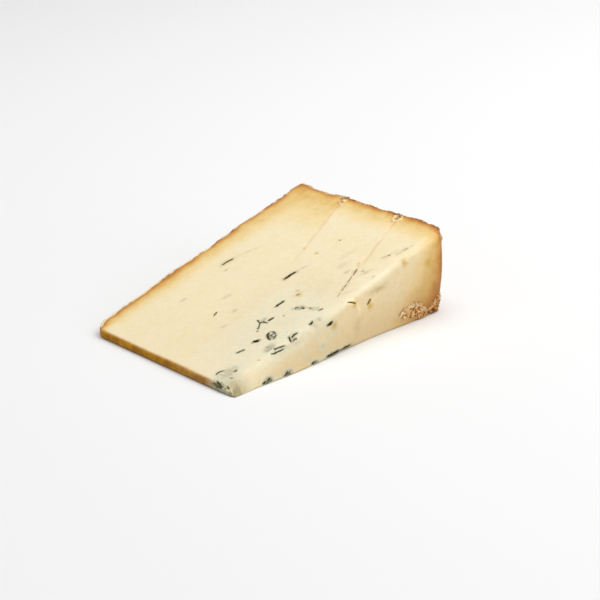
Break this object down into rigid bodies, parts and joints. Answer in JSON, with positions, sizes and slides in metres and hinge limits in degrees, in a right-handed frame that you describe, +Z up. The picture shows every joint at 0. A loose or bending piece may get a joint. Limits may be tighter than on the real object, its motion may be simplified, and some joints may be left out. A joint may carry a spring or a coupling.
{
  "type": "stilton wedge",
  "caption": "Wedge of ripe blue-veined cheese lying on a cut face, with rind on its outer ends, needle tracks and small mould-lined cavities.",
  "frame": {"origin": "centre of the bounding box's bottom, on the cut face that the wedge lies on", "axes": "+X from the thin nose to the curved rind, +Y along the wheel's axis from the sawn side to the flat rind, +Z up"},
  "size_m": [0.1032, 0.0796, 0.0313],
  "materials": {
    "paste": null,
    "rind": null
  },
  "bodies": {
    "root": {"stilton_wedge": "paste"}
  },
  "joints": []
}
